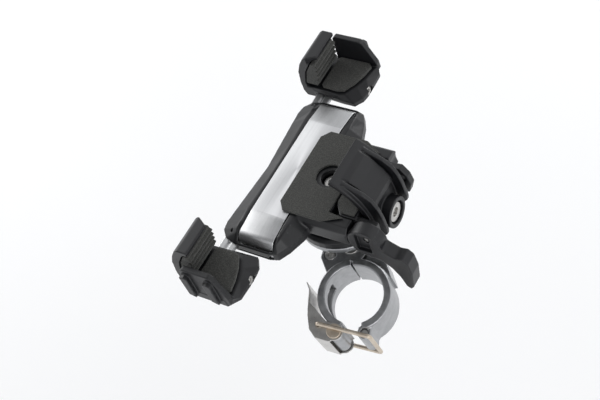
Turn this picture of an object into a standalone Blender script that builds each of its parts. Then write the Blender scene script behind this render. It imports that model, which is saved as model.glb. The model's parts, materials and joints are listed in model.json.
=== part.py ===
"""Phone mount: a sliding cradle on a ball joint, with a quick-release handlebar clamp.

The cradle lies flat, its face up (+Z), with the long bar along Y and the hook at +X.
The origin is the centre of the clamp's bore. Sizes are in millimetres; a piece is scaled
to metres when it is finished.
"""

import math

import bmesh
import bpy
from mathutils import Matrix, Vector

MM = 0.001
GAP = 0.3  # between pieces that touch
ROUND = 44  # sides of a large round shape
SMALL_ROUND = 16  # sides of a screw or a pin

# Clamp: frame, ring, hinge, socket and latch
CLAMP_TO_CRADLE = Vector((-22.3, 35.3, 57.7))  # bore centre to the cradle's reference point
BORE_AXIS = Vector((0.121, -0.263, 0.957))
STEM_HINT = Vector((-0.311, 0.906, 0.288))
RING_INNER = 16.0
RING_OUTER = 20.1
RING_HALF_WIDTH = 13.0
HINGE = Vector((-4.5, 27.9))
HINGE_PIN_R = 2.2
EAR_R = 9.4
EAR_INNER = 4.0
EAR_OUTER = 9.5
KNUCKLE_R = 5.4
KNUCKLE_HALF = 3.6
PINCH = Vector((-15.9, 23.3))
PINCH_HEAD_R = 3.2
PINCH_R = 1.6
BALL_R = 6.5
SOCKET_R = 9.6
SLOT_HALF = 4.2
LATCH_PIVOT = Vector((-8.8, -20.9))
LATCH_BOSS_R = 4.1
BOSS_HALF = 11.7
LATCH_PIN_R = 1.5
STRIKE = Vector((6.9, -20.3))
STRIKE_R = 3.8
CHEEK_INNER = RING_HALF_WIDTH + GAP
CHEEK_OUTER = CHEEK_INNER + 0.8
PIN_HEAD_OUTER = CHEEK_OUTER + GAP + 0.8
WIRE_R = 1.1
WIRE_Z = PIN_HEAD_OUTER + GAP + WIRE_R
BAIL_PIVOT = Vector((-17.9, -17.4))
BAIL_END = Vector((11.0, -23.8))

# Cradle: bar, neck, ball stud
BAR_BOTTOM = -13.6
BAR_SHOULDER = -8.0
PLATE_LEFT = -31.2
PLATE_RIGHT = -10.2
PLATE_TOP = -1.5
PLATE_T = 1.2
PLATE_LINE = [(32.75, -1.5), (40.0, -2.4), (46.0, -3.2), (47.6, -5.0), (48.9, -7.6), (49.8, -10.2)]
PLATE_LINE += [(50.2, -12.4)]
COVER_T = 2.0
NECK_HALF = 29.2
NECK_TOP = -1.5
NECK_BOTTOM = -13.4
NECK_END = 24.0
PAD_HALF = 28.0
PAD_LEFT = -18.0
PAD_RIGHT = 17.5
PAD_HOLE_R = 7.5
BOSS_R = 21.9
BOSS_BOTTOM = -24.7
DISC_R = 25.6
DISC_TOP = -25.0
DISC_BOTTOM = -30.9
FLANGE_R = 25.0
FLANGE_TOP = -31.2
FLANGE_BOTTOM = -35.0
BALL_Z = -48.0
STUD_R = 3.6
BOLT_R = 2.0

# Slides and claws
RAIL_X0 = -41.0
RAIL_X1 = -31.6
RAIL_Z0 = -11.0
RAIL_Z1 = -8.8
RAIL_INNER_Y = 24.0
RAIL_OUTER_Y = 80.0
CLAW_Y1 = 86.0
CLAW_FLOOR_TOP = -5.2
CLAW_FOOT = -13.4
CLAW_SCREW_Y = 68.0
CLAW_SCREW_Z = -9.9
CLAW_SCREW_R = 1.4
CLAW_HEAD_R = 2.8
CLAW_HEAD_X = -15.5
LIP_IN = -36.2
LIP_TOP = 18.8

# Sliding arm, hook and lever
TONGUE_START = 11.3
TONGUE_END = 25.3
TONGUE_HALF = 20.5
TONGUE_TOP = -1.5
TONGUE_BOTTOM = -7.0
LEG_X0 = 22.6
LEG_X1 = 27.6
LEG_HALF = 14.5
LEG_BOTTOM = -24.2
GUIDE_Y0 = 8.6
GUIDE_Y1 = 14.6
HOOK_CENTER = (-3.0, -13.0)
HOOK_R = 31.4
HOOK_HALF = 15.5
HOOK_T = 3.0
HOOK_BASE_X0 = LEG_X1 + GAP
HOOK_BASE_X1 = 36.5
BOLT_Z = -16.5
HOOK_TRAVEL = 5.0
LEVER_AXIS_X = 33.6
LEVER_AXIS_Z = -8.6
LEVER_Y0 = -29.0
LEVER_Y1 = -21.2
LEVER_HUB_R = 9.6

MATERIALS = {
    "black_plastic": ((0.022, 0.022, 0.026), 0.45, 0.0),
    "dark_rubber": ((0.045, 0.045, 0.040), 0.85, 0.0),
    "brushed_aluminium": ((0.72, 0.72, 0.74), 0.35, 1.0),
    "cast_metal": ((0.55, 0.56, 0.58), 0.45, 1.0),
    "steel": ((0.70, 0.69, 0.67), 0.28, 1.0),
    "bronze_steel": ((0.66, 0.60, 0.52), 0.32, 1.0),
}


def clear_scene():
    for obj in list(bpy.data.objects):
        bpy.data.objects.remove(obj, do_unlink=True)


def material(name):
    found = bpy.data.materials.get(name)
    if found:
        return found
    color, roughness, metallic = MATERIALS[name]
    made = bpy.data.materials.new(name)
    made.use_nodes = True
    shader = made.node_tree.nodes["Principled BSDF"]
    shader.inputs["Base Color"].default_value = (*color, 1.0)
    shader.inputs["Roughness"].default_value = roughness
    shader.inputs["Metallic"].default_value = metallic
    return made


def object_from(bm, name="work"):
    bmesh.ops.recalc_face_normals(bm, faces=bm.faces)
    mesh = bpy.data.meshes.new(name)
    bm.to_mesh(mesh)
    bm.free()
    obj = bpy.data.objects.new(name, mesh)
    bpy.context.scene.collection.objects.link(obj)
    return obj


def layered(layers):
    """A closed solid through rings of 3-D points, all with the same number of points."""
    bm = bmesh.new()
    rings = [[bm.verts.new(p) for p in layer] for layer in layers]
    count = len(layers[0])
    for lower, upper in zip(rings, rings[1:]):
        for i in range(count):
            j = (i + 1) % count
            bm.faces.new((lower[i], lower[j], upper[j], upper[i]))
    bm.faces.new(list(reversed(rings[0])))
    bm.faces.new(rings[-1])
    bm.normal_update()
    bmesh.ops.triangulate(bm, faces=bm.faces)
    return object_from(bm)


def prism(outline, start, end, along="Z"):
    """An outline pushed along an axis. The outline's pairs are the other two axes, in order."""
    place = {
        "X": lambda a, b, t: (t, a, b),
        "Y": lambda a, b, t: (a, t, b),
        "Z": lambda a, b, t: (a, b, t),
    }[along]
    return layered([[place(a, b, t) for a, b in outline] for t in (start, end)])


def box(x0, x1, y0, y1, z0, z1):
    return prism([(x0, y0), (x1, y0), (x1, y1), (x0, y1)], z0, z1)


def arc(center, radius, start, end, steps):
    """Points on an arc, in degrees."""
    points = []
    for i in range(steps + 1):
        angle = math.radians(start + (end - start) * i / steps)
        points.append((center[0] + radius * math.cos(angle), center[1] + radius * math.sin(angle)))
    return points


def circle(center, radius, sides):
    return arc(center, radius, 0, 360, sides)[:-1]


def cylinder(center, radius, start, end, along="Z", sides=SMALL_ROUND):
    return prism(circle(center, radius, sides), start, end, along)


def turned(profile, center=(0, 0, 0), sides=ROUND):
    """A solid of revolution about a Z line, from (radius, z) points."""
    bm = bmesh.new()
    verts = [bm.verts.new((center[0] + r, center[1], center[2] + z)) for r, z in profile]
    edges = [bm.edges.new(pair) for pair in zip(verts, verts[1:])]
    if profile[0][0] > 0:
        edges.append(bm.edges.new((verts[-1], verts[0])))
    bmesh.ops.spin(
        bm, geom=verts + edges, cent=center, axis=(0, 0, 1), angle=math.tau, steps=sides, use_merge=True
    )
    bmesh.ops.remove_doubles(bm, verts=bm.verts, dist=1e-4)
    return object_from(bm)


def baked(obj):
    """The object with its modifiers applied."""
    graph = bpy.context.evaluated_depsgraph_get()
    mesh = bpy.data.meshes.new_from_object(obj.evaluated_get(graph))
    obj.modifiers.clear()
    obj.data = mesh
    return obj


def boolean(obj, others, operation):
    for other in others:
        change = obj.modifiers.new(operation.lower(), "BOOLEAN")
        change.operation = operation
        change.object = other
        change.solver = "EXACT"
        baked(obj)
        bpy.data.objects.remove(other, do_unlink=True)
    return obj


def joined(obj, *others):
    return boolean(obj, others, "UNION")


def cut(obj, *others):
    return boolean(obj, others, "DIFFERENCE")


def kept_inside(obj, other):
    return boolean(obj, [other], "INTERSECT")


def bevelled(obj, width, segments=1, angle=40):
    bevel = obj.modifiers.new("edges", "BEVEL")
    bevel.width = width
    bevel.segments = segments
    bevel.limit_method = "ANGLE"
    bevel.angle_limit = math.radians(angle)
    return baked(obj)


def finish(obj, name, look, frame, origin=(0, 0, 0)):
    """Names the piece, moves its origin to its joint, scales it to metres and hangs it on a frame."""
    obj.name = name
    obj.data.name = name
    obj.data.materials.clear()
    obj.data.materials.append(material(look))
    obj.data.transform(Matrix.Translation(-Vector(origin)))
    obj.data.transform(Matrix.Scale(MM, 4))
    obj.data.shade_smooth()
    obj.data.set_sharp_from_angle(angle=math.radians(35))
    obj.location = Vector(origin) * MM
    obj.parent = frame
    return obj


def empty(name, matrix):
    obj = bpy.data.objects.new(name, None)
    obj.matrix_world = matrix
    bpy.context.scene.collection.objects.link(obj)
    return obj


def clamp_basis():
    z_axis = BORE_AXIS.normalized()
    x_axis = STEM_HINT.cross(z_axis).normalized()
    return Matrix((x_axis, z_axis.cross(x_axis), z_axis)).transposed()


# ---------------------------------------------------------------- cradle body


def face_height(y):
    """Height of the bar's face: flat, then falling towards both ends."""
    ys = [0.0] + [p[0] for p in PLATE_LINE[:3]]
    zs = [PLATE_TOP] + [p[1] for p in PLATE_LINE[:3]]
    for y0, y1, z0, z1 in zip(ys, ys[1:], zs, zs[1:]):
        if abs(y) <= y1:
            return z0 + (z1 - z0) * (abs(y) - y0) / (y1 - y0)
    return zs[-1] - 1.1 * (abs(y) - ys[-1])


def bar_side(points):
    """The full outline from its half at +Y."""
    return points + [(x, -y) for x, y in reversed(points) if y > 0]


def bar_block():
    foot = [(-41.6, 0), (-42.6, 15), (-43.8, 32.75), (-44.2, 40), (-43.4, 45), (-39.5, 49.6)]
    foot += [(-33.0, 51.4), (-12.0, 51.4), (-7.0, 50.0), (-3.5, 44), (0, 34), (0, 0)]
    face = [(-33.0, 0), (-33.2, 15), (-34.0, 32.75), (-34.0, 40), (-33.8, 44), (-33.2, 46.6), (-31.8, 47.8)]
    face += [(-9.8, 47.8), (-8.8, 46.6), (-7.6, 43), (-6.5, 34), (-6.0, 0)]
    foot_line, face_line = bar_side(foot), bar_side(face)
    layers = [[(x, y, BAR_BOTTOM) for x, y in foot_line]]
    layers.append([(x, y, BAR_SHOULDER) for x, y in foot_line])
    layers.append([(x, y, face_height(y) - 0.2) for x, y in face_line])
    return layered(layers)


def neck_block():
    profile = [(-NECK_HALF, NECK_BOTTOM), (NECK_HALF, NECK_BOTTOM), (NECK_HALF, NECK_TOP - 3)]
    profile += [(NECK_HALF - 2.5, NECK_TOP), (-NECK_HALF + 2.5, NECK_TOP), (-NECK_HALF, NECK_TOP - 3)]
    return prism(profile, -12.0, NECK_END, "X")


def plate_outline(grow):
    """Side view of the face plate in Y and Z, rolled down at both ends, grown by the given clearance."""
    over, under = 4 * grow, PLATE_T + grow
    drops = [(0, 1), (0, 1), (0.45, 0.89), (0.75, 0.66), (0.92, 0.39), (0.97, 0.24), (1, 0)]
    top = [(y + over * dy, z + over * dz) for (y, z), (dy, dz) in zip(PLATE_LINE, drops)]
    low = [(y - under * dy, z - under * dz) for (y, z), (dy, dz) in zip(PLATE_LINE, drops)]
    end = top[-1][1] - grow
    half = top[:-1] + [(top[-1][0], end), (low[-1][0], end)] + list(reversed(low[:-1]))
    outer, inner = half[: len(PLATE_LINE)], half[len(PLATE_LINE):]
    left = [(-y, z) for y, z in reversed(outer)]
    return left + outer + inner + [(-y, z) for y, z in reversed(inner)]


def rail_channel(side):
    y0, y1 = sorted((side * (RAIL_INNER_Y - 2.0), side * 60.0))
    return box(RAIL_X0 - GAP, RAIL_X1 + GAP, y0, y1, RAIL_Z0 - GAP, RAIL_Z1 + GAP)


def body_shell(frame):
    boss = turned([(0, NECK_BOTTOM + 1.7), (BOSS_R, NECK_BOTTOM + 1.7), (BOSS_R, BOSS_BOTTOM), (0, BOSS_BOTTOM)])
    obj = joined(bar_block(), neck_block(), boss)
    obj = cut(
        obj,
        prism(plate_outline(GAP), PLATE_LEFT - GAP, PLATE_RIGHT + GAP, "X"),
        box(-37.5, -10.0, -46.5, 46.5, BAR_BOTTOM - 1, -5.2),
        rail_channel(1),
        rail_channel(-1),
        box(TONGUE_START - GAP, 40, -TONGUE_HALF - GAP, TONGUE_HALF + GAP, TONGUE_BOTTOM - GAP, 5),
        box(LEG_X0 - GAP, 40, -LEG_HALF - 0.8, LEG_HALF + 0.8, -30, TONGUE_BOTTOM),
        box(16.6, 40, -6.4, 6.4, BOLT_Z - 6.2, TONGUE_BOTTOM),
        box(-9.0, 30, GUIDE_Y0 - GAP, GUIDE_Y1 + GAP, TONGUE_BOTTOM - GAP, -3.8),
        box(-9.0, 30, -GUIDE_Y1 - GAP, -GUIDE_Y0 + GAP, TONGUE_BOTTOM - GAP, -3.8),
        cylinder((LEVER_AXIS_X, LEVER_AXIS_Z), LEVER_HUB_R + 0.6, -40, -TONGUE_HALF, "Y", ROUND),
        cylinder((LEVER_AXIS_X, LEVER_AXIS_Z), LEVER_HUB_R + 0.6, TONGUE_HALF, 40, "Y", ROUND),
        cylinder((0, 0), 5.2, -9.8, 5, sides=24),
        cylinder((0, 0), BOLT_R + GAP, -30, 5),
    )
    return finish(obj, "body_shell", "black_plastic", frame)


def face_plate(frame):
    obj = prism(plate_outline(0), PLATE_LEFT, PLATE_RIGHT, "X")
    return finish(obj, "face_plate", "brushed_aluminium", frame)


def back_cover(frame):
    obj = box(-37.2, -12.3, -46.2, 46.2, BAR_BOTTOM, BAR_BOTTOM + COVER_T)
    return finish(bevelled(obj, 0.5), "back_cover", "black_plastic", frame)


def cover_screws(frame):
    """Countersunk screws up through the back cover into four posts' places in the shell."""
    for i, (x, y) in enumerate([(-34.0, -36), (-34.0, 36), (-34.0, -12), (-34.0, 12)]):
        obj = turned([(0, BAR_BOTTOM - 1.3), (2.4, BAR_BOTTOM - 1.3), (2.4, BAR_BOTTOM - GAP), (0, BAR_BOTTOM - GAP)],
                     (x, y, 0), SMALL_ROUND)
        finish(obj, f"cover_screw_{i + 1}", "steel", frame)


def front_pad(frame):
    c = 6.0  # chamfered corners
    outline = [(PAD_LEFT, -PAD_HALF + 5), (PAD_LEFT + 4, -PAD_HALF), (PAD_RIGHT - c - 3, -PAD_HALF)]
    outline += [(PAD_RIGHT + 2, -PAD_HALF + c), (TONGUE_START - 0.6, -TONGUE_HALF - 0.6), (TONGUE_START - 0.6, 0)]
    full = outline + [(x, -y) for x, y in reversed(outline) if y < 0]
    obj = prism(full, NECK_TOP + GAP, 0.0)
    obj = cut(obj, cylinder((0, 0), PAD_HOLE_R, -5, 5, sides=ROUND))
    return finish(obj, "front_pad", "dark_rubber", frame)


def centre_bolt(frame):
    profile = [(1.9, -5.0), (4.4, -5.0), (4.4, -9.2), (BOLT_R, -9.2), (BOLT_R, -43.0), (0, -43.0)]
    profile = [(0, -7.6), (1.9, -7.6)] + profile
    return finish(turned(profile, sides=24), "centre_bolt", "steel", frame)


def swivel_disc(frame):
    profile = [(BOLT_R + GAP, DISC_TOP), (DISC_R - 2, DISC_TOP), (DISC_R, DISC_TOP - 1.5)]
    profile += [(DISC_R, DISC_BOTTOM), (BOLT_R + GAP, DISC_BOTTOM)]
    return finish(turned(profile), "swivel_disc", "black_plastic", frame)


def ball_stud(frame):
    hole = BOLT_R + GAP
    profile = [(hole, FLANGE_TOP), (FLANGE_R - 1.2, FLANGE_TOP), (FLANGE_R, FLANGE_TOP - 1.2)]
    profile += [(FLANGE_R, FLANGE_BOTTOM), (STUD_R + 2, FLANGE_BOTTOM), (STUD_R, FLANGE_BOTTOM - 1.6)]
    start = math.degrees(math.acos(STUD_R / BALL_R))
    profile += [(x, z + BALL_Z) for x, z in arc((0, 0), BALL_R, start, -90, 12)[:-1]]
    profile += [(0, BALL_Z - BALL_R), (0, -44.0), (hole, -44.0)]
    obj = turned(profile + [(hole, FLANGE_TOP)], sides=ROUND)
    return finish(obj, "ball_stud", "cast_metal", frame, (0, 0, BALL_Z))


# ------------------------------------------------------------- slides and claws


def sided(side, obj):
    """The piece modelled at +Y, or its mirror image."""
    if side < 0:
        obj.data.transform(Matrix.Scale(-1, 4, (0, 1, 0)))
        obj.data.flip_normals()
    return obj


def slide_rail(frame, side, tag):
    obj = box(RAIL_X0, RAIL_X1, RAIL_INNER_Y, RAIL_OUTER_Y, RAIL_Z0, RAIL_Z1)
    obj = cut(obj, box((RAIL_X0 + RAIL_X1) / 2 - 0.8, (RAIL_X0 + RAIL_X1) / 2 + 0.8, 50, 76, RAIL_Z1 - 0.8, 0))
    return finish(sided(side, obj), f"slide_rail_{tag}", "brushed_aluminium", frame)


def claw_block():
    """Lower block with a skirt, a bulging long wall under a lip, and an end wall with two ribs."""
    top = [(-46.0, 57.6), (-27.0, 56.8), (-22.5, 57.8), (-18.3, 64.9), (-16.0, 72.0), (-14.2, 84.2)]
    top += [(-17.5, 86.0), (-37.0, 86.0), (-41.0, 84.0), (-46.0, 79.0)]
    skirt = [(-48.0, 57.6), (-24.0, 55.4), (-15.6, 55.0), (-12.4, 60.0), (-11.6, 66.0), (-12.0, 80.0)]
    skirt += [(-16.5, 86.0), (-37.0, 86.0), (-41.0, 84.0), (-48.0, 79.0)]
    foot = [(-46.0, 59.0), (-24.0, 57.4), (-18.0, 57.6), (-14.4, 62.0), (-13.6, 67.0), (-14.0, 77.0)]
    foot += [(-19.0, 81.5), (-37.0, 81.5), (-41.0, 80.0), (-46.0, 77.0)]
    levels = ((foot, CLAW_FOOT), (skirt, CLAW_FOOT + 3.4), (skirt, CLAW_FLOOR_TOP - 2.2), (top, CLAW_FLOOR_TOP))
    obj = layered([[(x, y, z) for x, y in outline] for outline, z in levels])
    wall = [(LIP_IN, LIP_TOP - 2.4), (LIP_IN, LIP_TOP), (-42.6, LIP_TOP), (-44.6, 17.2), (-47.2, 12.8)]
    wall += [(-49.6, 6.5), (-50.4, -2.0), (-50.0, -9.0), (-48.2, -12.4), (-43.0, -12.4), (-43.0, -5.6)]
    wall += [(-46.4, -5.6), (-46.9, -1.0), (-44.6, 7.7), (-40.4, 15.0), (-38.8, LIP_TOP - 2.4)]
    end = [(-40.0, CLAW_FLOOR_TOP - 3), (-14.0, CLAW_FLOOR_TOP - 3), (-14.2, -3.0), (-20.5, 10.6)]
    end += [(-22.4, 12.0), (-38.5, 12.0), (-40.0, 10.5)]
    obj = joined(obj, prism(wall, 57.2, 80.0, "Y"), prism(end, 82.4, CLAW_Y1 - 0.3, "Y"))
    for left in (-38.0, -24.0):
        rib = [(left, -6.2), (left + 4.2, -7.4), (left + 3.2, 8.0), (left + 1.2, 9.0), (left - 1.6, 8.0)]
        obj = joined(obj, prism(rib, CLAW_Y1 - 1.5, CLAW_Y1 + 2.2, "Y"))
    return cut(obj, prism([(-42.5, 55.0), (-42.5, 56.9), (-35.0, 61.3), (-35.0, 55.0)], 14.6, 25.0))


def corner_claw(frame, side, tag):
    obj = cut(
        claw_block(),
        box(RAIL_X0 - GAP, RAIL_X1 + GAP, 50, RAIL_OUTER_Y + GAP, RAIL_Z0 - GAP, RAIL_Z1 + GAP),
        cylinder((CLAW_SCREW_Y, CLAW_SCREW_Z), CLAW_SCREW_R + GAP, RAIL_X1, 0, "X"),
        cylinder((CLAW_SCREW_Y, CLAW_SCREW_Z), CLAW_HEAD_R + GAP, CLAW_HEAD_X - GAP, 0, "X", 24),
    )
    return finish(sided(side, obj), f"corner_claw_{tag}", "black_plastic", frame)


def claw_liner(frame, side, tag):
    """Rubber lining inside the long wall, with ridges along the bar."""
    face = [(-40.2, 14.2), (-44.2, 7.4), (-46.5, -1.0), (-46.3, -2.6), (-39.0, -2.6)]
    for i in range(4):
        z = 1.0 + 3.6 * i
        edge = -38.4 + 0.13 * z
        face += [(edge - 0.6, z - 2.2), (edge + 0.9, z - 0.6), (edge + 0.9, z + 0.4), (edge - 0.8, z + 1.1)]
    face += [(-37.4, 13.4), (-37.8, 14.2)]
    obj = prism(face, side * 57.8, side * 79.4, "Y")
    return finish(obj, f"claw_liner_{tag}", "dark_rubber", frame)


def claw_pad(frame, side, tag):
    outline = [(-38.0, 60.0), (-38.0, 80.5), (-36.6, 82.0), (-18.5, 82.0), (-16.4, 80.0), (-17.6, 73.0)]
    outline += [(-20.0, 66.0), (-23.6, 59.4), (-27.5, 58.4), (-36.6, 58.8)]
    obj = prism(outline, CLAW_FLOOR_TOP + GAP, CLAW_FLOOR_TOP + 2.2)
    return finish(sided(side, obj), f"claw_pad_{tag}", "dark_rubber", frame)


def claw_screw(frame, side, tag):
    """Long set screw through the skirt to the rail's edge. Modelled upright, then laid along X."""
    profile = [(0, 0.8), (1.3, 0.8), (1.3, 2.0), (CLAW_HEAD_R, 2.0), (CLAW_HEAD_R, 0.0), (CLAW_SCREW_R, 0.0)]
    profile += [(CLAW_SCREW_R, RAIL_X1 + GAP - CLAW_HEAD_X), (0, RAIL_X1 + GAP - CLAW_HEAD_X)]
    obj = turned(profile, sides=SMALL_ROUND)
    obj.data.transform(Matrix.Rotation(math.radians(90), 4, "Y"))
    obj.data.transform(Matrix.Translation((CLAW_HEAD_X, CLAW_SCREW_Y, CLAW_SCREW_Z)))
    return finish(sided(side, obj), f"claw_screw_{tag}", "steel", frame)


def claws(frame):
    for side, tag in ((1, "right"), (-1, "left")):
        slide_rail(frame, side, tag)
        corner_claw(frame, side, tag)
        claw_liner(frame, side, tag)
        claw_pad(frame, side, tag)
        claw_screw(frame, side, tag)


# ------------------------------------------------------- sliding arm, hook, lever


def arm_base(frame):
    tongue = [(TONGUE_START, -14.0), (TONGUE_START + 5, -TONGUE_HALF), (TONGUE_END, -TONGUE_HALF)]
    tongue += [(TONGUE_END, TONGUE_HALF), (TONGUE_START + 5, TONGUE_HALF), (TONGUE_START, 14.0)]
    lobe = [(NECK_END + GAP, TONGUE_TOP - 1), (33.0, -1.6), (36.5, -6.5), (37.8, -13.0), (35.6, -19.6)]
    lobe += [(31.0, -21.6), (NECK_END + GAP, -16.0)]
    obj = joined(
        prism(tongue, TONGUE_BOTTOM, TONGUE_TOP),
        box(LEG_X0, LEG_X1, -LEG_HALF, LEG_HALF, LEG_BOTTOM, TONGUE_BOTTOM + 0.2),
        box(-8.0, TONGUE_START + 3, GUIDE_Y0, GUIDE_Y1, TONGUE_BOTTOM, -4.1),
        box(-8.0, TONGUE_START + 3, -GUIDE_Y1, -GUIDE_Y0, TONGUE_BOTTOM, -4.1),
        prism(lobe, 16.4, TONGUE_HALF - 0.1, "Y"),
        box(NECK_END + GAP, LEVER_AXIS_X + 4, -TONGUE_HALF + 0.1, -17.5, LEVER_AXIS_Z - 6, TONGUE_TOP - 1),
    )
    slot_low, slot_high = BOLT_Z - 3.1, BOLT_Z + HOOK_TRAVEL + 3.1
    slot = [(-3.1, slot_low), (3.1, slot_low), (3.1, slot_high), (-3.1, slot_high)]
    obj = cut(
        obj,
        prism(slot, LEG_X0 - 5, LEG_X1 + 5, "X"),
        cylinder((LEVER_AXIS_X, LEVER_AXIS_Z), 1.8, -40, 40, "Y"),
    )
    return finish(obj, "arm_base", "black_plastic", frame)


def arm_pad(frame):
    outline = [(TONGUE_START + 0.8, -13.5), (TONGUE_START + 5.4, -TONGUE_HALF + 1), (24.5, -TONGUE_HALF + 1)]
    outline += [(24.5, TONGUE_HALF - 1), (TONGUE_START + 5.4, TONGUE_HALF - 1), (TONGUE_START + 0.8, 13.5)]
    obj = prism(outline, TONGUE_TOP + GAP, 0.0)
    return finish(obj, "arm_pad", "dark_rubber", frame)


def hook_inner(offset, steps=20):
    """The hook's inner curve, from its foot up to its tip, moved outwards by an offset."""
    points = arc(HOOK_CENTER, HOOK_R + offset, 0, 64, steps)
    return [(HOOK_BASE_X0 + offset, LEG_BOTTOM + 1)] + points


def swept(stations):
    """Points round the hook's centre, from (degrees, radius) pairs."""
    return [arc(HOOK_CENTER, radius, angle, angle, 1)[0] for angle, radius in stations]


def hook(frame):
    plate = hook_inner(0) + list(reversed(hook_inner(HOOK_T)))
    crown = swept([(62, 34), (50, 35.4), (40, 36.2), (30, 37.0), (22, 37.4), (17, 36.8), (15, 34), (38, 33.4)])
    ridge = swept([(58, 33.8), (52, 35.2), (45, 36.6), (37, 38.9), (29, 40.5), (20, 40.5), (10, 40.2), (-4, 40.5)])
    ridge += [(37.0, -19.0), (33.5, -23.0), (29.4, -23.0)] + swept([(0, 33.6), (20, 33.6), (40, 33.6)])
    obj = prism(plate, -HOOK_HALF, HOOK_HALF, "Y")
    obj = joined(obj, prism(crown, -9.6, 9.6, "Y"))
    for y in (-13.0, 10.6):
        obj = joined(obj, prism(ridge, y, y + 2.4, "Y"))
    boss = cylinder((0, BOLT_Z), 8.8, HOOK_BASE_X0 + 1.7, HOOK_BASE_X1 + 0.5, "X", ROUND)
    obj = joined(obj, boss)
    obj = cut(
        obj,
        cylinder((0, BOLT_Z), 6.6, HOOK_BASE_X1 - 4.6, HOOK_BASE_X1 + 5, "X", 24),
        cylinder((0, BOLT_Z), 2.8, 20, HOOK_BASE_X1 + 5, "X"),
    )
    return finish(obj, "hook", "black_plastic", frame)


def hook_bolt(frame):
    """Socket screw along X: modelled upright, then laid down."""
    top = HOOK_BASE_X1 - 0.6
    seat = HOOK_BASE_X1 - 4.6 + 1.0 + 2 * GAP
    profile = [(0, top - 2.6), (2.6, top - 2.6), (2.6, top), (5.6, top), (5.6, seat), (2.4, seat)]
    profile += [(2.4, LEG_X0 - 5.2), (0, LEG_X0 - 5.2)]
    obj = turned(profile, sides=24)
    obj.data.transform(Matrix.Rotation(math.radians(90), 4, "Y"))
    obj.data.transform(Matrix.Translation((0, 0, BOLT_Z)))
    return finish(obj, "hook_bolt", "steel", frame)


def hook_washer(frame):
    seat = HOOK_BASE_X1 - 4.6 + GAP
    obj = prism(circle((0, BOLT_Z), 6.2, 24), seat, seat + 1.0, "X")
    obj = cut(obj, cylinder((0, BOLT_Z), 2.8, 20, 50, "X"))
    return finish(obj, "hook_washer", "steel", frame)


def hook_nut(frame):
    obj = prism(circle((0, BOLT_Z), 4.8, 6), LEG_X0 - GAP - 4, LEG_X0 - GAP, "X")
    obj = cut(obj, cylinder((0, BOLT_Z), 2.4 + GAP, 0, 50, "X"))
    return finish(obj, "hook_nut", "steel", frame)


def release_lever(frame):
    """Side lever on the arm's pin: hub, arm and a thumb pad bent down at its tip."""
    hub = cylinder((LEVER_AXIS_X, LEVER_AXIS_Z), LEVER_HUB_R, LEVER_Y0, LEVER_Y1, "Y", ROUND)
    arm = [(28.0, -17.0), (33.0, -18.4), (41.4, -19.4), (46.4, -23.3), (50.2, -29.5), (52.6, -37.0)]
    arm += [(55.0, -38.3), (56.8, -36.0), (58.2, -24.0), (57.2, -15.6), (54.5, -12.6), (50.0, -13.4)]
    arm += [(44.0, -10.4), (39.0, -4.0), (34.0, -2.0)]
    obj = joined(hub, prism(arm, LEVER_Y0, LEVER_Y1, "Y"))
    obj = cut(
        obj,
        cylinder((LEVER_AXIS_X, LEVER_AXIS_Z), 1.8, -50, 50, "Y"),
        box(28.5, 37.0, LEVER_Y0 - 1, LEVER_Y0 + 2.5, -15.0, -2.0),
    )
    return finish(obj, "release_lever", "black_plastic", frame, (LEVER_AXIS_X, 0, LEVER_AXIS_Z))


def lever_pin(frame):
    obj = cylinder((LEVER_AXIS_X, LEVER_AXIS_Z), 1.5, LEVER_Y0 + 3.2, -17.0, "Y")
    return finish(obj, "lever_pin", "steel", frame)


# --------------------------------------------------------------- handlebar clamp


def ring_sector(start, end):
    outer = arc((0, 0), RING_OUTER, start, end, 36)
    inner = arc((0, 0), RING_INNER, end, start, 36)
    return prism(outer + inner, -RING_HALF_WIDTH, RING_HALF_WIDTH)


def ball_cuts(ball):
    """What the ball and its stud need: the seat, the mouth on top and the slot to the front."""
    seat = turned([(0, 6.8)] + arc((0, 0), BALL_R + GAP, 80, -80, 14) + [(0, -6.8)], ball)
    mouth = box(ball.x - 12, ball.x + 12, ball.y + 3.4, ball.y + 15, ball.z - 12, ball.z + 12)
    slot = box(ball.x - SLOT_HALF, ball.x + SLOT_HALF, ball.y - 3.4, ball.y + 15, ball.z, ball.z + 15)
    return seat, mouth, slot


def socket_wall(ball):
    profile = [(0, SOCKET_R)] + arc((0, 0), SOCKET_R, 80, -80, 14) + [(0, -SOCKET_R)]
    return turned(profile, ball)


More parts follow.
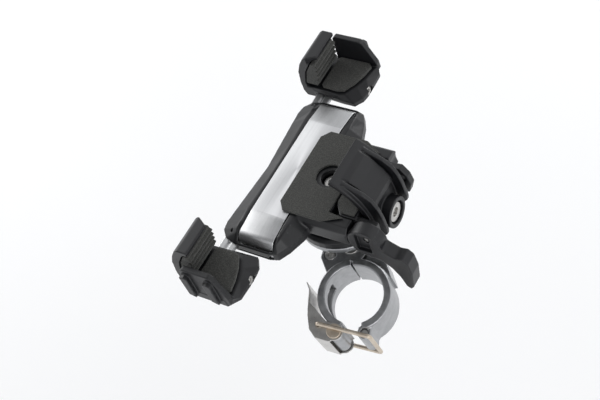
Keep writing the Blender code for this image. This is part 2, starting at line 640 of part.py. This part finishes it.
def clamp_fixed_half(frame, ball):
    ears = [(-16.5, 12.0), (-21.0, 21.5), (-20.0, 27.0), (-18.0, 40.0), (-4.0, 40.0), (2.0, 34.0)]
    ears += [(4.6, 28.0), (3.2, 23.2), (-3.6, 20.4), (-4.2, 16.5)]
    obj = joined(
        ring_sector(99.8, 252),
        prism(ears, ball.z + 0.15, EAR_OUTER),
        cylinder(HINGE, EAR_R, EAR_INNER, EAR_OUTER, sides=ROUND),
        cylinder(HINGE, KNUCKLE_R + 0.9, -EAR_OUTER, -EAR_INNER, sides=ROUND),
        prism([(-10.0, 18.0), (-5.0, 34.0), (-1.0, 32.0), (-3.8, 17.0)], -EAR_OUTER, -EAR_INNER),
        kept_inside(socket_wall(ball), box(-40, 40, 0, 80, ball.z + 0.15, 40)),
        cylinder(LATCH_PIVOT, LATCH_BOSS_R, -BOSS_HALF, BOSS_HALF, sides=24),
        prism([(-12.5, -20.0), (-14.0, -12.0), (-3.0, -18.0), (-6.5, -20.5)], -BOSS_HALF, BOSS_HALF),
    )
    seat, mouth, slot = ball_cuts(ball)
    obj = cut(
        obj,
        cylinder((0, 0), RING_INNER, -30, 30, sides=64),
        seat,
        mouth,
        slot,
        cylinder(HINGE, KNUCKLE_R + 0.5, -EAR_INNER, EAR_INNER, sides=ROUND),
        box(-4.9, 12.0, 20.15, 34.0, -EAR_INNER, EAR_INNER),
        cylinder(HINGE, HINGE_PIN_R + GAP, -30, 30),
        cylinder(PINCH, PINCH_R + GAP, -30, 30),
        cylinder(PINCH, PINCH_HEAD_R + GAP, 5.2, 30, sides=24),
        cylinder(LATCH_PIVOT, LATCH_PIN_R + GAP, -30, 30),
        box(-30, -13.0, -14.0, 8.0, -5.0, 5.0),
    )
    return finish(obj, "clamp_fixed_half", "cast_metal", frame)


def socket_cap(frame, ball):
    leg = [(-21.0, 21.8), (-20.0, 27.0), (-17.5, 40.0), (-8.0, 40.0), (-10.6, 30.0), (-11.6, 22.6)]
    split = ball.z - 0.15
    obj = joined(
        prism(leg, -EAR_OUTER, split),
        kept_inside(socket_wall(ball), box(-40, 40, 0, 80, -40, split)),
    )
    seat, mouth, slot = ball_cuts(ball)
    bpy.data.objects.remove(slot, do_unlink=True)
    obj = cut(
        obj,
        seat,
        mouth,
        cylinder((0, 0), RING_OUTER + 0.6, -30, 30, sides=64),
        cylinder(HINGE, KNUCKLE_R + 1.3, -30, 30, sides=ROUND),
        cylinder(PINCH, PINCH_R + GAP, -30, 30),
    )
    return finish(obj, "socket_cap", "cast_metal", frame)


def clamp_swing_half(frame):
    web = [(-4.2, 23.0), (0.5, 26.5), (6.0, 24.0), (11.0, 18.0), (9.0, 14.0), (-2.0, 17.0)]
    shoulder = [(6.0, 27.0), (9.5, 26.5), (15.5, 19.5), (19.5, 10.0), (10.0, 12.0), (3.0, 17.5)]
    obj = joined(
        ring_sector(-72, 97.4),
        cylinder(HINGE, KNUCKLE_R, -KNUCKLE_HALF, KNUCKLE_HALF, sides=ROUND),
        prism(web, -KNUCKLE_HALF, KNUCKLE_HALF),
        prism(shoulder, -EAR_OUTER, EAR_OUTER),
        cylinder(STRIKE, STRIKE_R, -BOSS_HALF, BOSS_HALF, sides=24),
        prism([(10.0, -20.0), (13.0, -13.0), (3.5, -17.5), (4.5, -20.5)], -BOSS_HALF, BOSS_HALF),
    )
    obj = cut(
        obj,
        cylinder((0, 0), RING_INNER, -30, 30, sides=64),
        cylinder(HINGE, EAR_R + 0.4, KNUCKLE_HALF, 30, sides=ROUND),
        cylinder(HINGE, EAR_R + 0.4, -30, -KNUCKLE_HALF, sides=ROUND),
        cylinder(HINGE, HINGE_PIN_R + GAP, -30, 30),
        cylinder(STRIKE, 2.3, 7.0, 30),
    )
    return finish(obj, "clamp_swing_half", "cast_metal", frame, (*HINGE, 0))


def hinge_pin(frame):
    profile = [(0, EAR_OUTER + 1.3), (4.7, EAR_OUTER + 1.3), (4.7, EAR_OUTER + GAP), (HINGE_PIN_R, EAR_OUTER + GAP)]
    profile += [(HINGE_PIN_R, -EAR_OUTER - 0.6), (0, -EAR_OUTER - 0.6)]
    return finish(turned(profile, (*HINGE, 0), 24), "hinge_pin", "steel", frame)


def pinch_bolt(frame):
    seat = 5.2 + GAP
    profile = [(0, 6.6), (1.5, 6.6), (1.5, 9.0), (PINCH_HEAD_R, 9.0), (PINCH_HEAD_R, seat), (PINCH_R, seat)]
    profile += [(PINCH_R, -13.6), (0, -13.6)]
    return finish(turned(profile, (*PINCH, 0), SMALL_ROUND), "pinch_bolt", "steel", frame)


def pinch_nut(frame):
    obj = prism(circle(PINCH, 3.6, 6), -EAR_OUTER - GAP - 3, -EAR_OUTER - GAP)
    obj = cut(obj, cylinder(PINCH, PINCH_R + GAP, -30, 30))
    return finish(obj, "pinch_nut", "steel", frame)


def strike_screw(frame):
    profile = [(0, 10.4), (2.0, 10.4), (2.0, 7.0 + GAP), (0, 7.0 + GAP)]
    return finish(turned(profile, (*STRIKE, 0), SMALL_ROUND), "strike_screw", "steel", frame)


def latch_lever(frame):
    """Sheet-metal lever: an outer wall along the ring's side and a cheek at each end of the pin."""
    outer = [(-26.6, 6.4), (-24.6, 2.0), (-24.6, -4.0), (-24.2, -12.0), (-22.6, -20.0), (-19.0, -24.6), (-11.0, -26.6)]
    inner = [(-11.0, -25.8), (-18.6, -23.8), (-21.8, -19.6), (-23.4, -12.0), (-23.8, -4.0), (-23.8, 1.8), (-25.8, 6.0)]
    obj = prism(outer + inner, -CHEEK_OUTER, CHEEK_OUTER)
    cheek = outer[2:] + arc(LATCH_PIVOT, 5.0, -100, 60, 8) + [(-14.0, -15.2), (-21.0, -7.6)]
    for z0, z1 in ((CHEEK_INNER, CHEEK_OUTER), (-CHEEK_OUTER, -CHEEK_INNER)):
        obj = joined(obj, prism(cheek, z0, z1))
    obj = cut(
        obj,
        cylinder(LATCH_PIVOT, LATCH_PIN_R + GAP, -30, 30),
        cylinder(BAIL_PIVOT, WIRE_R + GAP, -30, 30),
    )
    return finish(obj, "latch_lever", "steel", frame, (*LATCH_PIVOT, 0))


def latch_pin(frame):
    """Pivot pin whose shaft and front head are one piece, with a separate clip behind."""
    profile = [(0, PIN_HEAD_OUTER), (LATCH_BOSS_R, PIN_HEAD_OUTER), (LATCH_BOSS_R, CHEEK_OUTER + GAP)]
    profile += [(LATCH_PIN_R, CHEEK_OUTER + GAP), (LATCH_PIN_R, -CHEEK_OUTER - 1.4), (0, -CHEEK_OUTER - 1.4)]
    return finish(turned(profile, (*LATCH_PIVOT, 0), 24), "latch_pin", "bronze_steel", frame)


def latch_clip(frame):
    top = -CHEEK_OUTER - GAP
    profile = [(LATCH_PIN_R + GAP, top), (3.4, top), (3.4, top - 0.8), (LATCH_PIN_R + GAP, top - 0.8)]
    return finish(turned(profile, (*LATCH_PIVOT, 0), SMALL_ROUND), "latch_clip", "steel", frame)


def latch_bail(frame):
    """Wire loop: two hooked ends in the cheeks, two legs and a crossbar over the strike boss."""
    start = Vector((*BAIL_PIVOT, CHEEK_INNER - 0.6))
    corner = Vector((*BAIL_PIVOT, WIRE_Z))
    bend = Vector((*BAIL_END, WIRE_Z))
    route = [start, corner, bend]
    route += [Vector((p.x, p.y, -p.z)) for p in reversed(route)]
    curve = bpy.data.curves.new("bail_route", "CURVE")
    curve.dimensions = "3D"
    curve.bevel_depth = WIRE_R
    curve.bevel_resolution = 2
    curve.use_fill_caps = True
    spline = curve.splines.new("POLY")
    points = []
    for i, point in enumerate(route):
        if i in (0, len(route) - 1):
            points.append(point)
            continue
        before = (route[i - 1] - point).normalized() * 1.8
        after = (route[i + 1] - point).normalized() * 1.8
        for t in (0.0, 0.25, 0.5, 0.75, 1.0):
            points.append(point + before * (1 - t) ** 2 + after * t**2)
    spline.points.add(len(points) - 1)
    for target, point in zip(spline.points, points):
        target.co = (*point, 1.0)
    wire = bpy.data.objects.new("bail_route", curve)
    bpy.context.scene.collection.objects.link(wire)
    graph = bpy.context.evaluated_depsgraph_get()
    mesh = bpy.data.meshes.new_from_object(wire.evaluated_get(graph))
    bpy.data.objects.remove(wire, do_unlink=True)
    obj = bpy.data.objects.new("bail", mesh)
    bpy.context.scene.collection.objects.link(obj)
    return finish(obj, "latch_bail", "bronze_steel", frame, (*BAIL_PIVOT, 0))


def build():
    clear_scene()
    basis = clamp_basis()
    cradle = empty("cradle_frame", Matrix.Translation(CLAMP_TO_CRADLE * MM))
    clamp = empty("clamp_frame", basis.to_4x4())
    ball = basis.transposed() @ (CLAMP_TO_CRADLE + Vector((0, 0, BALL_Z)))
    body_shell(cradle)
    face_plate(cradle)
    back_cover(cradle)
    cover_screws(cradle)
    front_pad(cradle)
    centre_bolt(cradle)
    swivel_disc(cradle)
    ball_stud(cradle)
    claws(cradle)
    arm_base(cradle)
    arm_pad(cradle)
    hook(cradle)
    hook_bolt(cradle)
    hook_washer(cradle)
    hook_nut(cradle)
    release_lever(cradle)
    lever_pin(cradle)
    clamp_fixed_half(clamp, ball)
    socket_cap(clamp, ball)
    clamp_swing_half(clamp)
    hinge_pin(clamp)
    pinch_bolt(clamp)
    pinch_nut(clamp)
    strike_screw(clamp)
    latch_lever(clamp)
    latch_pin(clamp)
    latch_clip(clamp)
    latch_bail(clamp)


build()
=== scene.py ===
"""Looks of the phone mount: every piece rides on its CAD body, in the row's frame."""

import json
import math

import bmesh
import bpy
from mathutils import Matrix, Vector


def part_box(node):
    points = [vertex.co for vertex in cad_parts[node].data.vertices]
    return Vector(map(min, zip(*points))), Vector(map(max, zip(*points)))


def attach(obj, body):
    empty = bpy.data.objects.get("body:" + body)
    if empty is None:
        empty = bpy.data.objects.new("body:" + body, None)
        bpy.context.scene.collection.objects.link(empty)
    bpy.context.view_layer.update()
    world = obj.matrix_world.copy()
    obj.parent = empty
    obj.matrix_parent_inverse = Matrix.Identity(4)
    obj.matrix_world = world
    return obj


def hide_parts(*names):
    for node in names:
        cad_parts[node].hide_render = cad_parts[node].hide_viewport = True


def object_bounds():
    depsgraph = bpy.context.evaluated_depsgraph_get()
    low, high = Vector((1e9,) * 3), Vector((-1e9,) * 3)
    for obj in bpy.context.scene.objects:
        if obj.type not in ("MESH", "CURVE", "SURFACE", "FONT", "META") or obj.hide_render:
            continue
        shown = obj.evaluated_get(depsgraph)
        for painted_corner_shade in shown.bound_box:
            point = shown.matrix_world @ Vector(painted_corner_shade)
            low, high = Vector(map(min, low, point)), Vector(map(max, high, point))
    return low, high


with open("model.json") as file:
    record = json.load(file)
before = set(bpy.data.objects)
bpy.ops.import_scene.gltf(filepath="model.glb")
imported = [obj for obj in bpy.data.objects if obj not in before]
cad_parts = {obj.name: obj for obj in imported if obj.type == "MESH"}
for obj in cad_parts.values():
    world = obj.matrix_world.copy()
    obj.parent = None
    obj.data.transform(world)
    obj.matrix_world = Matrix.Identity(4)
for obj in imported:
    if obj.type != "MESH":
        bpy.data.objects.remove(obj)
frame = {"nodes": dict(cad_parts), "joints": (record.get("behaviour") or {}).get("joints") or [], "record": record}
cad_low, cad_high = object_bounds()

MM = 0.001

# The clamp hinge's place in the clamp's own frame, in millimetres
HINGE_X = -4.5
HINGE_Y = 27.9
CLAMP_BODIES = ("clamp", "swing_half", "latch", "bail")

# Face plate in the cradle's own frame, in millimetres. The bends are (y, z) from its middle to one end.
PLATE_LEFT = -31.2
PLATE_RIGHT = -10.2
PLATE_T = 1.15
PLATE_EDGE = 0.28
PLATE_BENDS = [(31.6, -1.5), (32.75, -1.52), (34.0, -1.66), (40.0, -2.42), (44.6, -3.0), (45.8, -3.2)]
PLATE_BENDS += [(46.9, -3.9), (47.8, -5.2), (48.6, -6.9), (49.3, -8.8), (49.8, -10.5), (50.2, -12.3)]

# Skin of a refined piece: its voxel size for a piece whose box diagonal is under each limit, in millimetres
SKINS = ((20, 0.16), (30, 0.24), (75, 0.32))
LARGEST_SKIN = 0.45
EASE_PASSES = 4
BAIL_GROWTH = 0.15  # given back to the bail's wire, which the easing thins

# Camera, in metres and millimetres of lens
CAMERA_PLACE = (0.27929, -0.28801, 0.56185)
CAMERA_RIGHT = (0.84972, 0.47065, -0.23762)
CAMERA_UP = (-0.24816, 0.75467, 0.60736)
CAMERA_LENS = 76.4
CAMERA_SENSOR = 36.0

# Studio, in metres
FLOOR_HALF = 6.0
FLOOR_DROP = 0.12
WHITE = (0.98, 0.98, 0.98, 1)
SKY_COLOR = (0.97, 0.98, 1.0, 1)
DIM_TOWARDS = (-0.10, -0.20, 0.97)
DIM_FROM = 0.58  # cosine of the angle at which the dimmer patch begins
DIM_TO = 0.96
SKY_BRIGHT = 0.98
SKY_DIM = 0.27

SLOT_NODES = {
    "black_plastic": ["body_shell", "back_cover", "swivel_disc", "corner_claw_left", "corner_claw_right",
                      "arm_base", "hook", "release_lever"],
    "dark_rubber": ["front_pad", "arm_pad", "claw_liner_left", "claw_liner_right", "claw_pad_left",
                    "claw_pad_right"],
    "brushed_aluminium": ["face_plate", "slide_rail_left", "slide_rail_right"],
    "cast_metal": ["ball_stud", "clamp_fixed_half", "socket_cap", "clamp_swing_half"],
    "steel": ["centre_bolt", "cover_screw_1", "cover_screw_2", "cover_screw_3", "cover_screw_4",
              "claw_screw_left", "claw_screw_right", "lever_pin", "hook_bolt", "hook_washer", "hook_nut",
              "hinge_pin", "pinch_bolt", "pinch_nut", "strike_screw", "latch_lever", "latch_clip"],
    "bronze_steel": ["latch_pin", "latch_bail"],
}
SLOTS = {node: slot for slot, nodes in SLOT_NODES.items() for node in nodes}


# ---------------------------------------------------------------- frames

def joint(name):
    return next(j for j in frame["joints"] if j["name"] == name)


def cradle_matrix():
    """Millimetres of the cradle's own frame to metres of the row's frame."""
    low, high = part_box("swivel_disc")
    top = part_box("front_pad")[1].z
    origin = Vector(((low.x + high.x) / 2, (low.y + high.y) / 2, top))
    return Matrix.Translation(origin) @ Matrix.Scale(MM, 4)


def clamp_matrix():
    """Millimetres of the clamp's own frame to metres: Z along the bore, Y up the stem."""
    hinge = joint("clamp_hinge")
    z_axis = Vector(hinge["axis"]).normalized()
    along = Vector(hinge["pos_m"]).normalized()
    turn = math.atan2(HINGE_Y, HINGE_X)
    side = z_axis.cross(along)
    x_axis = (along * math.cos(turn) - side * math.sin(turn)).normalized()
    basis = Matrix((x_axis, z_axis.cross(x_axis), z_axis)).transposed()
    return basis.to_4x4() @ Matrix.Scale(MM, 4)


CRADLE = cradle_matrix()
CLAMP = clamp_matrix()


# ---------------------------------------------------------------- mesh tools

def object_from(bm, name="work"):
    bmesh.ops.recalc_face_normals(bm, faces=bm.faces)
    mesh = bpy.data.meshes.new(name)
    bm.to_mesh(mesh)
    bm.free()
    obj = bpy.data.objects.new(name, mesh)
    bpy.context.scene.collection.objects.link(obj)
    return obj


def layered(layers):
    """A closed solid through rings of 3-D points, all with the same number of points."""
    bm = bmesh.new()
    rings = [[bm.verts.new(p) for p in layer] for layer in layers]
    count = len(layers[0])
    for lower, upper in zip(rings, rings[1:]):
        for i in range(count):
            j = (i + 1) % count
            bm.faces.new((lower[i], lower[j], upper[j], upper[i]))
    bm.faces.new(list(reversed(rings[0])))
    bm.faces.new(rings[-1])
    bm.normal_update()
    bmesh.ops.triangulate(bm, faces=bm.faces)
    return object_from(bm)


def prism_along_x(outline, start, end):
    """A (y, z) outline pushed along X."""
    return layered([[(x, y, z) for y, z in outline] for x in (start, end)])


def baked(obj):
    """The object with its modifiers applied."""
    graph = bpy.context.evaluated_depsgraph_get()
    mesh = bpy.data.meshes.new_from_object(obj.evaluated_get(graph))
    obj.modifiers.clear()
    obj.data = mesh
    return obj


def copied(node, matrix):
    """A CAD node's mesh as a new piece to refine, in millimetres of the given frame."""
    obj = bpy.data.objects.new("work", frame["nodes"][node].data.copy())
    bpy.context.scene.collection.objects.link(obj)
    obj.data.materials.clear()
    obj.data.transform(matrix.inverted())
    bm = bmesh.new()
    bm.from_mesh(obj.data)
    bmesh.ops.remove_doubles(bm, verts=bm.verts, dist=1e-3)
    bm.to_mesh(obj.data)
    bm.free()
    return obj


def rounded(obj, voxel):
    """Moulded edges: an even skin whose corners are eased."""
    remesh = obj.modifiers.new("skin", "REMESH")
    remesh.mode = "VOXEL"
    remesh.voxel_size = voxel
    ease = obj.modifiers.new("ease", "SMOOTH")
    ease.factor = 0.5
    ease.iterations = EASE_PASSES
    baked(obj)
    obj.data.shade_smooth()
    return obj


def thickened(obj, growth):
    """The surface moved outwards by a growth."""
    swell = obj.modifiers.new("swell", "DISPLACE")
    swell.strength = growth
    swell.mid_level = 0.0
    baked(obj)
    obj.data.shade_smooth()


def bevelled(obj, width, segments, angle):
    bevel = obj.modifiers.new("edges", "BEVEL")
    bevel.width = width
    bevel.segments = segments
    bevel.limit_method = "ANGLE"
    bevel.angle_limit = math.radians(angle)
    baked(obj)
    obj.data.shade_smooth()
    obj.data.set_sharp_from_angle(angle=math.radians(40))
    return obj


def place(obj, name, look, body, matrix, replaced):
    """Names the piece, brings it from millimetres of its own frame to the row's frame and rides it."""
    obj.name = name
    obj.data.name = name
    obj.data.materials.clear()
    obj.data.materials.append(look)
    obj.data.transform(matrix)
    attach(obj, body)
    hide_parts(*replaced)


# ---------------------------------------------------------------- materials

class Nodes:
    """Short calls for building the node tree of one material, named fine_ and then its slot."""

    def __init__(self, name):
        self.made = bpy.data.materials.new(f"fine_{name}")
        self.made.use_nodes = True
        self.tree = self.made.node_tree
        self.shader = self.tree.nodes["Principled BSDF"]
        self.coords = self.tree.nodes.new("ShaderNodeTexCoord").outputs["Object"]

    def node(self, kind, **inputs):
        made = self.tree.nodes.new(kind)
        for key, value in inputs.items():
            self.feed(made.inputs[key.replace("_", " ")], value)
        return made

    def feed(self, socket, value):
        if isinstance(value, bpy.types.NodeSocket):
            self.tree.links.new(value, socket)
        else:
            socket.default_value = value

    def noise(self, scale, detail=3.0, roughness=0.55, stretch=None):
        """Noise from 0 to 1, drawn out along an axis where its stretch is small."""
        where = self.coords
        if stretch:
            where = self.node("ShaderNodeMapping", Vector=self.coords, Scale=stretch).outputs[0]
        made = self.node("ShaderNodeTexNoise", Vector=where, Scale=scale, Detail=detail, Roughness=roughness)
        return made.outputs["Fac"]

    def cells(self, scale):
        made = self.node("ShaderNodeTexVoronoi", Vector=self.coords, Scale=scale)
        return made.outputs["Distance"]

    def ramp(self, value, low, high, start=0.0, end=1.0):
        made = self.node("ShaderNodeMapRange", Value=value)
        for key, number in (("From Min", low), ("From Max", high), ("To Min", start), ("To Max", end)):
            made.inputs[key].default_value = number
        return made.outputs["Result"]

    def mix(self, factor, first, second):
        made = self.tree.nodes.new("ShaderNodeMix")
        made.data_type = "RGBA"
        self.feed(made.inputs[0], factor)
        self.feed(made.inputs[6], first)
        self.feed(made.inputs[7], second)
        return made.outputs[2]

    def math(self, operation, first, second):
        made = self.tree.nodes.new("ShaderNodeMath")
        made.operation = operation
        self.feed(made.inputs[0], first)
        self.feed(made.inputs[1], second)
        return made.outputs[0]

    def bump(self, height, strength, distance):
        made = self.node("ShaderNodeBump", Height=height, Strength=strength, Distance=distance)
        return made.outputs["Normal"]

    def edges(self, low, high):
        """0 below the low pointiness and 1 above the high one, so 1 is a convex edge."""
        point = self.tree.nodes.new("ShaderNodeNewGeometry").outputs["Pointiness"]
        return self.ramp(point, low, high)

    def set(self, **values):
        """Feeds the shader's own inputs and gives the finished material."""
        for key, value in values.items():
            self.feed(self.shader.inputs[key.replace("_", " ")], value)
        return self.made


def black_plastic():
    """Satin moulded plastic with a fine grain and paler convex edges, partly wear and partly a painted highlight.
    """
    deep = (0.0040, 0.0042, 0.0052, 1)
    pale = (0.0080, 0.0084, 0.0102, 1)
    # Paler edge colour: partly wear, partly a painted highlight.
    edge_highlight = (0.040, 0.042, 0.047, 1)
    n = Nodes("black_plastic")
    grain = n.noise(1900.0, 5.0, 0.6)
    cloud = n.noise(95.0, 4.0)
    # Painted highlight mixed with wear: convex edges, broken up by noise, take the paler colour.
    wear_and_highlight_mask = n.math("MULTIPLY", n.edges(0.53, 0.60), n.ramp(n.noise(420.0), 0.45, 0.75))
    base = n.mix(cloud, deep, pale)
    base = n.mix(wear_and_highlight_mask, base, edge_highlight)
    rough = n.ramp(n.math("ADD", n.math("MULTIPLY", grain, 0.35), cloud), 0.3, 1.1, 0.34, 0.50)
    pits = n.cells(2600.0)
    height = n.math("ADD", n.math("MULTIPLY", grain, 0.7), n.math("MULTIPLY", pits, 0.5))
    return n.set(Base_Color=base, Roughness=rough, Normal=n.bump(height, 0.22, 0.00006))


def dark_rubber():
    """Grained rubber: small cells with paler specks."""
    deep = (0.016, 0.0165, 0.015, 1)
    speckle = (0.062, 0.062, 0.056, 1)
    dust = (0.030, 0.031, 0.030, 1)
    n = Nodes("dark_rubber")
    cells = n.cells(1500.0)
    fine = n.noise(3400.0, 4.0, 0.7)
    cloud = n.noise(130.0, 3.0)
    speck = n.ramp(n.math("ADD", cells, n.math("MULTIPLY", fine, 0.6)), 0.35, 1.1)
    base = n.mix(speck, deep, speckle)
    base = n.mix(n.math("MULTIPLY", cloud, 0.35), base, dust)
    height = n.math("ADD", n.math("MULTIPLY", cells, 0.8), n.math("MULTIPLY", fine, 0.7))
    rough = n.ramp(fine, 0.3, 0.7, 0.82, 0.97)
    return n.set(
        Base_Color=base, Roughness=rough, Specular_IOR_Level=0.32, Sheen_Weight=0.12, Sheen_Roughness=0.6,
        Normal=n.bump(height, 0.75, 0.00022),
    )


def brushed_aluminium():
    """Aluminium with hairlines along Y and a painted highlight on its convex edges."""
    deep = (0.42, 0.425, 0.43, 1)
    pale = (0.57, 0.575, 0.58, 1)
    # Near-white colour for the painted highlight on convex edges.
    edge_highlight = (0.95, 0.95, 0.96, 1)
    n = Nodes("brushed_aluminium")
    lines = n.noise(1.0, 6.0, 0.7, (5200.0, 26.0, 5200.0))
    broad = n.noise(1.0, 3.0, 0.5, (900.0, 9.0, 900.0))
    cloud = n.noise(60.0, 3.0)
    tone = n.math("ADD", n.math("MULTIPLY", lines, 0.6), n.math("MULTIPLY", broad, 0.4))
    base = n.mix(n.ramp(tone, 0.32, 0.68), deep, pale)
    # Painted highlight: convex edges are mixed halfway towards near-white.
    base = n.mix(n.math("MULTIPLY", n.edges(0.52, 0.58), 0.5), base, edge_highlight)
    rough = n.ramp(n.math("ADD", tone, n.math("MULTIPLY", cloud, 0.4)), 0.35, 1.0, 0.30, 0.46)
    return n.set(
        Base_Color=base, Roughness=rough, Metallic=1.0, Anisotropic=0.45,
        Normal=n.bump(tone, 0.28, 0.00004),
    )


def cast_metal():
    """Cast metal, satin, with a painted highlight on convex edges and painted shade in concave corners."""
    deep = (0.30, 0.305, 0.315, 1)
    pale = (0.44, 0.445, 0.455, 1)
    # Near-white colour for the painted highlight on convex edges.
    edge_highlight = (0.86, 0.87, 0.88, 1)
    # Dark grey for the painted shade in concave corners.
    painted_corner_shade = (0.16, 0.16, 0.17, 1)
    n = Nodes("cast_metal")
    fine = n.noise(2600.0, 4.0, 0.6)
    cloud = n.noise(210.0, 4.0)
    cells = n.cells(1700.0)
    base = n.mix(n.ramp(cloud, 0.3, 0.7), deep, pale)
    # Painted highlight: convex edges mixed towards near-white.
    base = n.mix(n.math("MULTIPLY", n.edges(0.53, 0.60), 0.6), base, edge_highlight)
    # Painted shade: concave corners, where pointiness is low, mixed towards dark grey.
    base = n.mix(n.ramp(n.edges(0.36, 0.47), 1.0, 0.0, 0.0, 0.45), base, painted_corner_shade)
    rough = n.ramp(n.math("ADD", fine, cloud), 0.7, 1.3, 0.30, 0.48)
    height = n.math("ADD", fine, n.math("MULTIPLY", cells, 0.5))
    return n.set(Base_Color=base, Roughness=rough, Metallic=1.0, Normal=n.bump(height, 0.22, 0.00007))


def rolled_steel(name, deep, pale, smooth):
    """Rolled sheet or turned steel with fine lines and a few scratches."""
    scratched = (0.9, 0.89, 0.87, 1)
    n = Nodes(name)
    lines = n.noise(1.0, 5.0, 0.6, (160.0, 2600.0, 2600.0))
    cloud = n.noise(160.0, 4.0)
    scratch = n.ramp(n.noise(1.0, 2.0, 0.5, (3800.0, 150.0, 700.0)), 0.62, 0.70)
    base = n.mix(n.ramp(cloud, 0.3, 0.7), deep, pale)
    base = n.mix(n.math("MULTIPLY", scratch, 0.4), base, scratched)
    rough = n.ramp(n.math("ADD", lines, cloud), 0.6, 1.4, smooth, smooth + 0.16)
    height = n.math("ADD", n.math("MULTIPLY", lines, 0.6), n.math("MULTIPLY", scratch, 0.4))
    return n.set(Base_Color=base, Roughness=rough, Metallic=1.0, Normal=n.bump(height, 0.14, 0.00004))


def steel():
    return rolled_steel("steel", (0.44, 0.43, 0.415, 1), (0.62, 0.61, 0.59, 1), 0.24)


def bronze_steel():
    return rolled_steel("bronze_steel", (0.52, 0.44, 0.35, 1), (0.70, 0.62, 0.52, 1), 0.36)


LOOKS = {
    "black_plastic": black_plastic(),
    "dark_rubber": dark_rubber(),
    "brushed_aluminium": brushed_aluminium(),
    "cast_metal": cast_metal(),
    "steel": steel(),
    "bronze_steel": bronze_steel(),
}


# ---------------------------------------------------------------- stage

def camera():
    """A high three-quarter view with about 21 degrees of roll."""
    data = bpy.data.cameras.new("camera")
    data.lens = CAMERA_LENS
    data.sensor_width = CAMERA_SENSOR
    data.clip_start = 0.01
    data.clip_end = 20.0
    obj = bpy.data.objects.new("camera", data)
    right = Vector(CAMERA_RIGHT)
    up = Vector(CAMERA_UP)
    basis = Matrix((right, up, right.cross(up))).transposed()
    obj.matrix_world = Matrix.Translation(CAMERA_PLACE) @ basis.to_4x4()
    bpy.context.scene.collection.objects.link(obj)
    bpy.context.scene.camera = obj


def light(name, where, target, size, power):
    """A soft round light aimed at a point."""
    data = bpy.data.lights.new(name, "AREA")
    data.shape = "DISK"
    data.size = size
    data.energy = power
    obj = bpy.data.objects.new(name, data)
    obj.location = where
    obj.rotation_mode = "QUATERNION"
    obj.rotation_quaternion = (Vector(target) - Vector(where)).to_track_quat("-Z", "Y")
    bpy.context.scene.collection.objects.link(obj)


def sky():
    """White all round, with a dimmer patch overhead that gives metal faces their contrast."""
    world = bpy.data.worlds.new("studio")
    bpy.context.scene.world = world
    world.use_nodes = True
    tree = world.node_tree
    background = tree.nodes["Background"]
    coords = tree.nodes.new("ShaderNodeTexCoord")
    dot = tree.nodes.new("ShaderNodeVectorMath")
    dot.operation = "DOT_PRODUCT"
    tree.links.new(coords.outputs["Generated"], dot.inputs[0])
    dot.inputs[1].default_value = Vector(DIM_TOWARDS).normalized()
    fade = tree.nodes.new("ShaderNodeMapRange")
    fade.interpolation_type = "SMOOTHSTEP"
    tree.links.new(dot.outputs["Value"], fade.inputs["Value"])
    fade.inputs["From Min"].default_value = DIM_FROM
    fade.inputs["From Max"].default_value = DIM_TO
    fade.inputs["To Min"].default_value = SKY_BRIGHT
    fade.inputs["To Max"].default_value = SKY_DIM
    tree.links.new(fade.outputs["Result"], background.inputs["Strength"])
    background.inputs["Color"].default_value = SKY_COLOR


def studio():
    """Pale floor below the held-up object, with a key, a side and a back light."""
    bpy.context.scene.view_settings.view_transform = "Standard"
    sky()
    bm = bmesh.new()
    bmesh.ops.create_grid(bm, x_segments=1, y_segments=1, size=FLOOR_HALF)
    floor = object_from(bm, "floor")
    floor.location.z = cad_low.z - FLOOR_DROP
    made = bpy.data.materials.new("floor")
    made.use_nodes = True
    shader = made.node_tree.nodes["Principled BSDF"]
    shader.inputs["Base Color"].default_value = WHITE
    shader.inputs["Roughness"].default_value = 1.0
    shader.inputs["Specular IOR Level"].default_value = 0.0
    floor.data.materials.append(made)
    middle = (cad_low + cad_high) / 2
    light("key", (-0.9, 0.25, 0.6), middle, 0.45, 3.0)
    light("side", (0.75, -0.55, 0.35), middle, 0.5, 2.0)
    light("back", (0.2, 0.8, 0.35), middle, 0.4, 1.5)


# ---------------------------------------------------------------- pieces

def grown(line, distance):
    """An open line moved sideways by a distance, to the left of its direction."""
    moved = []
    for i, (x, y) in enumerate(line):
        x0, y0 = line[max(i - 1, 0)]
        x1, y1 = line[min(i + 1, len(line) - 1)]
        length = math.hypot(x1 - x0, y1 - y0)
        moved.append((x - (y1 - y0) / length * distance, y + (x1 - x0) / length * distance))
    return moved


def face_plate():
    """Bent brushed strip over the bar, rolled down at both ends."""
    upper = [(-y, z) for y, z in reversed(PLATE_BENDS)] + PLATE_BENDS
    lower = grown(upper, -PLATE_T)
    obj = prism_along_x(upper + list(reversed(lower)), PLATE_LEFT, PLATE_RIGHT)
    obj = bevelled(obj, PLATE_EDGE, segments=3, angle=50)
    place(obj, "face_plate_piece", LOOKS["brushed_aluminium"], "cradle", CRADLE, ("face_plate",))


def home(body):
    """The millimetre frame in which a body's pieces are square to the axes."""
    return CLAMP if body in CLAMP_BODIES else CRADLE


def skin_for(node):
    low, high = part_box(node)
    size = (high - low).length / MM
    return next((voxel for limit, voxel in SKINS if size < limit), LARGEST_SKIN)


def refine_nodes():
    """Every CAD node not yet replaced: the same shape with eased edges."""
    for body, members in frame["record"]["behaviour"]["bodies"].items():
        for node in members:
            if frame["nodes"][node].hide_render:
                continue
            piece = rounded(copied(node, home(body)), skin_for(node))
            if node == "latch_bail":
                thickened(piece, BAIL_GROWTH)
            place(piece, f"{node}_piece", LOOKS[SLOTS[node]], body, home(body), (node,))


camera()
studio()
face_plate()
refine_nodes()
